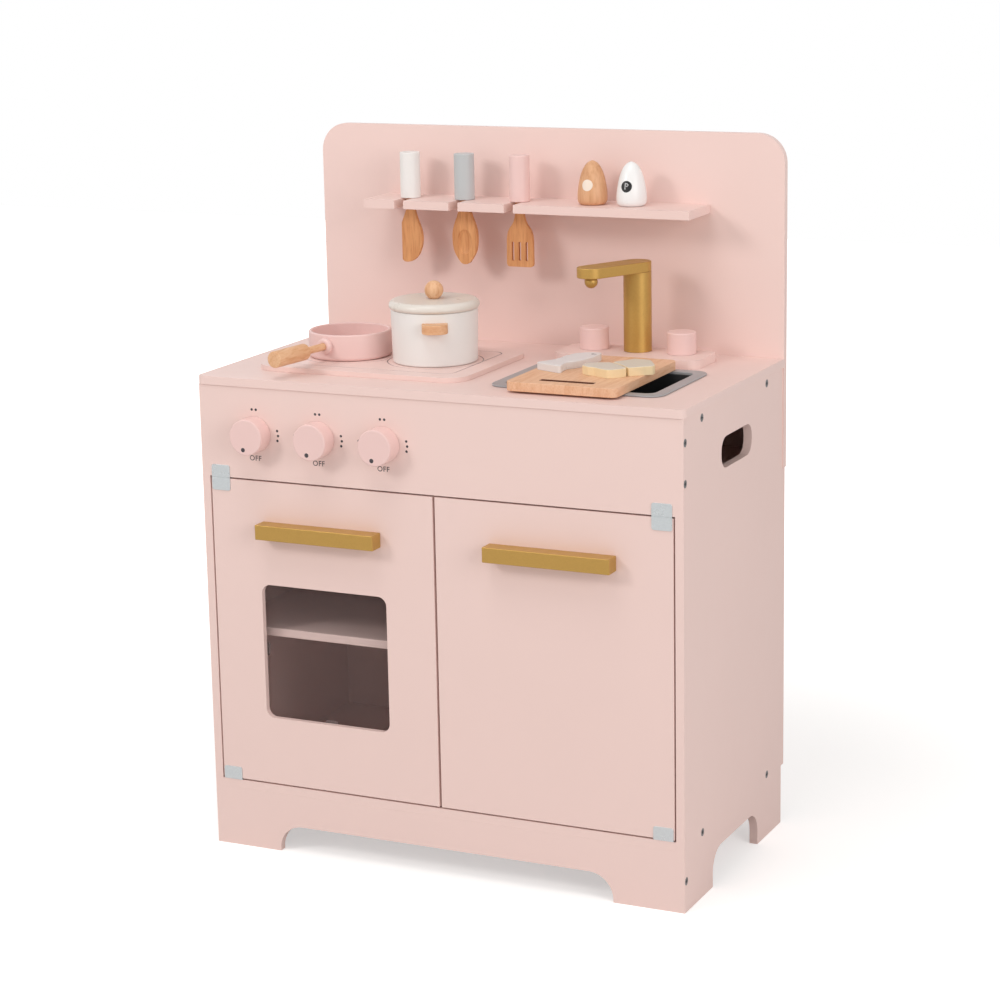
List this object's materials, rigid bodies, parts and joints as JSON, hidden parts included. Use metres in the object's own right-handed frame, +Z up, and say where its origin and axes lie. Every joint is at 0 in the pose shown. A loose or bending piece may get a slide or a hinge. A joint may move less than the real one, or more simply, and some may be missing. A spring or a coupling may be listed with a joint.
{
  "type": "play kitchen",
  "caption": "Free-standing toy kitchen with oven and cupboard doors, hob, drop-in sink, tap, wall shelf, pots, utensils and toy food.",
  "frame": {"origin": "on the floor, under the middle of the whole kitchen's footprint", "axes": "+X to the user's right, +Y from the front to the back, +Z up"},
  "size_m": [0.604, 0.3494, 0.831],
  "materials": {
    "pink_paint": "satin pink paint on fibreboard",
    "raw_wood": "planed pine",
    "beech": "oiled beech with fine grain",
    "gold_paint": "satin gold paint on wood",
    "zinc_plate": "bright zinc plating",
    "steel_screw": "zinc plated steel",
    "white_plastic": "moulded plastic",
    "window_pane": "clear tinted acrylic",
    "grey_plastic": "moulded grey plastic",
    "grey_paint": "satin grey paint on wood",
    "white_paint": "satin white paint on wood",
    "cream_paint": "cream painted wood with pale grey top"
  },
  "bodies": {
    "cabinet": {"side_panel_left": "pink_paint", "side_panel_right": "pink_paint", "worktop": "pink_paint", "back_splash": "pink_paint", "back_panel": "pink_paint", "bottom_panel": "pink_paint", "front_plinth": "pink_paint", "control_panel": "pink_paint", "middle_panel": "pink_paint", "centre_divider": "pink_paint", "oven_shelf": "pink_paint", "shelf_pins": "steel_screw", "corner_blocks": "raw_wood", "magnetic_catches": "white_plastic", "wall_shelf": "pink_paint", "hob_plate": "pink_paint", "tap_base": "pink_paint", "cabinet_screws": "steel_screw", "fixed_hinge_plates": "zinc_plate"},
    "oven_door": {"oven_door_panel": "pink_paint", "oven_window": "window_pane", "window_clips": "white_plastic", "oven_handle": "gold_paint", "oven_hinge_plates": "zinc_plate", "oven_strike_plate": "zinc_plate"},
    "cupboard_door": {"cupboard_door_panel": "pink_paint", "cupboard_handle": "gold_paint", "cupboard_hinge_plates": "zinc_plate", "cupboard_strike_plate": "zinc_plate"},
    "knob_left": {"knob_left": "pink_paint", "knob_spindle_left": "steel_screw"},
    "knob_middle": {"knob_middle": "pink_paint", "knob_spindle_middle": "steel_screw"},
    "knob_right": {"knob_right": "pink_paint", "knob_spindle_right": "steel_screw"},
    "tap": {"tap_column": "gold_paint", "tap_arm": "gold_paint", "tap_nozzle": "gold_paint", "tap_pivot": "steel_screw"},
    "tap_handle_left": {"tap_handle_left": "pink_paint"},
    "tap_handle_right": {"tap_handle_right": "pink_paint"},
    "sink": {"sink_bowl": "grey_plastic"},
    "chopping_board": {"chopping_board": "beech"},
    "toy_fish": {"toy_fish": "grey_paint"},
    "toast_left": {"toast_left": "cream_paint"},
    "toast_right": {"toast_right": "cream_paint"},
    "pot": {"pot_body": "white_paint", "pot_handles": "beech"},
    "pot_lid": {"pot_lid": "grey_paint", "lid_knob": "beech"},
    "pan": {"pan_body": "pink_paint", "pan_handle": "beech"},
    "spatula": {"spatula_handle": "white_paint", "spatula_blade": "beech"},
    "spoon": {"spoon_handle": "grey_paint", "spoon_blade": "beech"},
    "turner": {"turner_handle": "pink_paint", "turner_blade": "beech"},
    "shaker_beech": {"shaker_beech": "beech"},
    "shaker_white": {"shaker_white": "white_paint"}
  },
  "joints": [
    {"name": "oven_door_hinge", "type": "hinge", "parent": "cabinet", "child": "oven_door", "pos_m": [-0.279, -0.1473, 0.267], "axis": [0, 0, -1], "range_deg": [0, 105]},
    {"name": "cupboard_door_hinge", "type": "hinge", "parent": "cabinet", "child": "cupboard_door", "pos_m": [0.279, -0.1473, 0.267], "axis": [0, 0, 1], "range_deg": [0, 105]},
    {"name": "knob_left_turn", "type": "hinge", "parent": "cabinet", "child": "knob_left", "pos_m": [-0.2278, -0.1523, 0.5055], "axis": [0, -1, 0], "continuous": true},
    {"name": "knob_middle_turn", "type": "hinge", "parent": "cabinet", "child": "knob_middle", "pos_m": [-0.1448, -0.1523, 0.5055], "axis": [0, -1, 0], "continuous": true},
    {"name": "knob_right_turn", "type": "hinge", "parent": "cabinet", "child": "knob_right", "pos_m": [-0.0618, -0.1523, 0.5055], "axis": [0, -1, 0], "continuous": true},
    {"name": "tap_swivel", "type": "hinge", "parent": "cabinet", "child": "tap", "pos_m": [0.141, 0.1097, 0.6], "axis": [0, 0, 1], "range_deg": [-60, 115]},
    {"name": "tap_handle_left_turn", "type": "hinge", "parent": "cabinet", "child": "tap_handle_left", "pos_m": [0.086, 0.1097, 0.59], "axis": [0, 0, 1], "continuous": true},
    {"name": "tap_handle_right_turn", "type": "hinge", "parent": "cabinet", "child": "tap_handle_right", "pos_m": [0.196, 0.1097, 0.59], "axis": [0, 0, 1], "continuous": true},
    {"name": "sink_lift", "type": "slide", "parent": "cabinet", "child": "sink", "axis": [0, 0, 1], "range_m": [0, 0.046]},
    {"name": "chopping_board_lift", "type": "slide", "parent": "sink", "child": "chopping_board", "axis": [0, 0, 1], "range_m": [0, 0.02]},
    {"name": "toy_fish_lift", "type": "slide", "parent": "chopping_board", "child": "toy_fish", "axis": [0, 0, 1], "range_m": [0, 0.04]},
    {"name": "toast_left_lift", "type": "slide", "parent": "chopping_board", "child": "toast_left", "axis": [0, 0, 1], "range_m": [0, 0.04]},
    {"name": "toast_right_lift", "type": "slide", "parent": "chopping_board", "child": "toast_right", "axis": [0, 0, 1], "range_m": [0, 0.04]},
    {"name": "pot_lift", "type": "slide", "parent": "cabinet", "child": "pot", "axis": [0, 0, 1], "range_m": [0, 0.06]},
    {"name": "pot_lid_lift", "type": "slide", "parent": "pot", "child": "pot_lid", "axis": [0, 0, 1], "range_m": [0, 0.04]},
    {"name": "pan_lift", "type": "slide", "parent": "cabinet", "child": "pan", "axis": [0, 0, 1], "range_m": [0, 0.06]},
    {"name": "spatula_pull", "type": "slide", "parent": "cabinet", "child": "spatula", "axis": [0, -0.9962, 0.0872], "range_m": [0, 0.055]},
    {"name": "spoon_pull", "type": "slide", "parent": "cabinet", "child": "spoon", "axis": [0, -0.9962, 0.0872], "range_m": [0, 0.055]},
    {"name": "turner_pull", "type": "slide", "parent": "cabinet", "child": "turner", "axis": [0, -0.9962, 0.0872], "range_m": [0, 0.055]},
    {"name": "shaker_beech_lift", "type": "slide", "parent": "cabinet", "child": "shaker_beech", "axis": [0, 0, 1], "range_m": [0, 0.06]},
    {"name": "shaker_white_lift", "type": "slide", "parent": "cabinet", "child": "shaker_white", "axis": [0, 0, 1], "range_m": [0, 0.06]}
  ]
}
